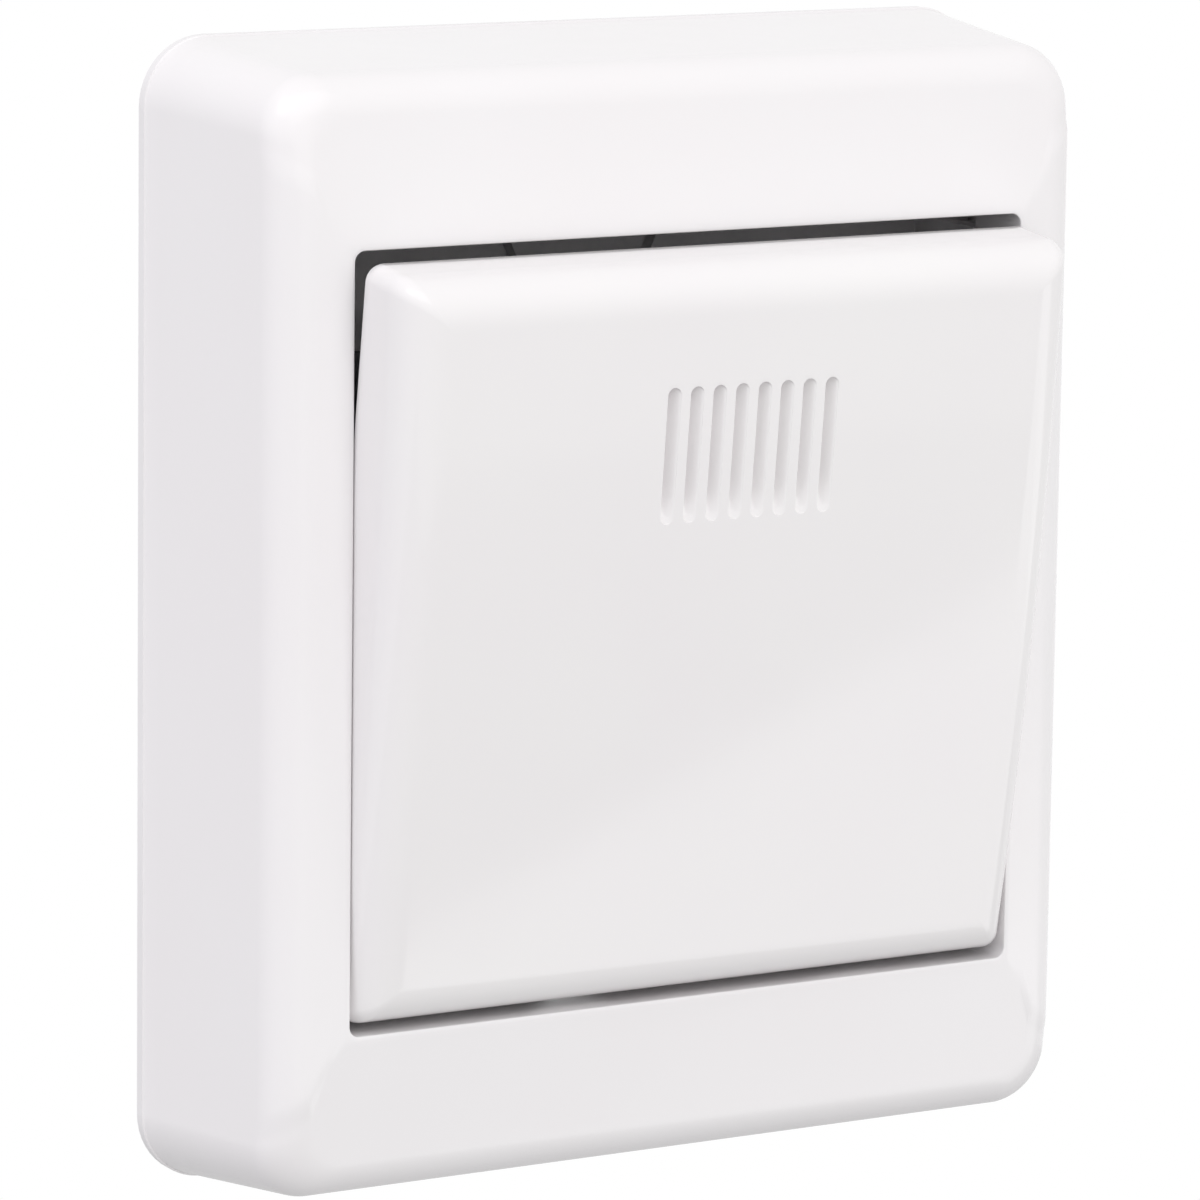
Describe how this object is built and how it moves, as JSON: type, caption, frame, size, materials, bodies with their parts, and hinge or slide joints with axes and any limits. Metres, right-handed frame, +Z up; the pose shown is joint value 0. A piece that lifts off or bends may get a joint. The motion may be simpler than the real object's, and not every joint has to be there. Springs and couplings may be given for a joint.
{
  "type": "light switch with indicator",
  "caption": "Surface-mounted rocker light switch: tapered white housing, square tilting rocker with a row of indicator grooves, and the switching mechanism and lamp inside.",
  "frame": {"origin": "middle of the base plate's back face, on the wall", "axes": "+Z up the wall, +Y into the wall, +X to the right as seen from the room"},
  "size_m": [0.0706, 0.0262, 0.0834],
  "materials": {
    "white_cover": "glossy moulded ABS",
    "white_base": "satin moulded ABS",
    "white_rocker": "glossy moulded ABS",
    "white_carrier": "moulded polyamide",
    "grey_mechanism": "moulded polyamide",
    "grommet_rubber": "soft rubber",
    "steel": "zinc plated",
    "spring_steel": "bright wire",
    "brass": "stamped",
    "contact_silver": "silver rivet",
    "tinned_wire": "tinned copper",
    "lamp_glass": "clear glass",
    "clear_lens": "clear polycarbonate",
    "resistor_body": "lacquered ceramic"
  },
  "bodies": {
    "root": {"cover": "white_cover", "base_plate": "white_base", "cable_grommet": "grommet_rubber", "mechanism_body": "grey_mechanism", "mechanism_lid": "grey_mechanism", "mechanism_screws": "steel", "lid_screws": "steel", "terminal_screws": "steel", "common_terminal": "brass", "upper_terminal": "brass", "lower_terminal": "brass", "lamp_terminal": "brass", "fixed_contacts": "contact_silver", "lamp_holder": "grey_mechanism", "glow_lamp": "lamp_glass", "lamp_electrodes": "spring_steel", "lamp_leads": "tinned_wire", "lamp_resistor": "resistor_body", "lamp_lens": "clear_lens"},
    "rocker": {"rocker": "white_rocker", "rocker_carrier": "white_carrier", "plunger_spring": "spring_steel"},
    "plunger": {"plunger": "white_carrier"},
    "contact": {"contact_bridge": "brass", "moving_contacts": "contact_silver"}
  },
  "joints": [
    {"name": "rocker_tilt", "type": "hinge", "parent": "root", "child": "rocker", "pos_m": [0, -0.018, 0], "axis": [-1, 0, 0], "range_deg": [0, 14.8]},
    {"name": "contact_rock", "type": "hinge", "parent": "root", "child": "contact", "pos_m": [0, -0.0075, 0], "axis": [-1, 0, 0], "range_deg": [-12, 0]},
    {"name": "plunger_slide", "type": "slide", "parent": "rocker", "child": "plunger", "axis": [0, -0.9917, -0.1288], "range_m": [0, 0.001], "stiffness_N_per_m": 300, "springref_m": -0.001, "deforming": ["plunger_spring"]}
  ],
  "couplings": [
    {"joint": "contact_rock", "follows": "rocker_tilt", "ratio": -0.81}
  ]
}
